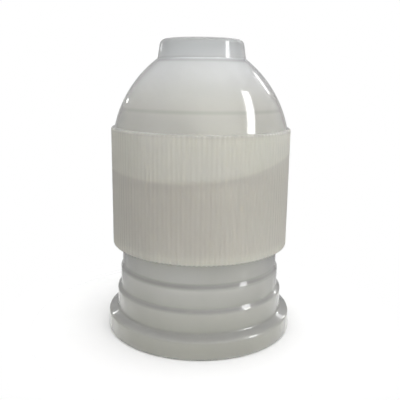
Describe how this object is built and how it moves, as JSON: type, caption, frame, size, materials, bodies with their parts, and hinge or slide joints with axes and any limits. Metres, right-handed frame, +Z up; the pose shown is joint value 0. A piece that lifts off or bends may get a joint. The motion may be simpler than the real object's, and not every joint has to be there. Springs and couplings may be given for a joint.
{
  "type": "piping bag coupler",
  "caption": "Coupler for a piping bag: an open base with a stepped foot, barrel and conical nose, and a domed ring nut with a ribbed skirt that clamps the bag and tip.",
  "frame": {"origin": "middle of the foot's lower face, on the common axis of base and nut", "axes": "+Z up along the axis, from the foot to the nut's neck; the form is round, so X and Y are free"},
  "size_m": [0.0408, 0.0408, 0.0619],
  "materials": {
    "polished_plastic": "milky translucent natural polypropylene, polished",
    "ribbed_plastic": "milky translucent natural polypropylene, polished dome and matt fine ribs"
  },
  "bodies": {
    "base": {"coupler_base": "polished_plastic"},
    "nut": {"ring_nut": "ribbed_plastic"}
  },
  "joints": [
    {"name": "ring_nut_lift", "type": "slide", "parent": "base", "child": "nut", "axis": [0, 0, 1], "range_m": [0, 0.045]}
  ]
}
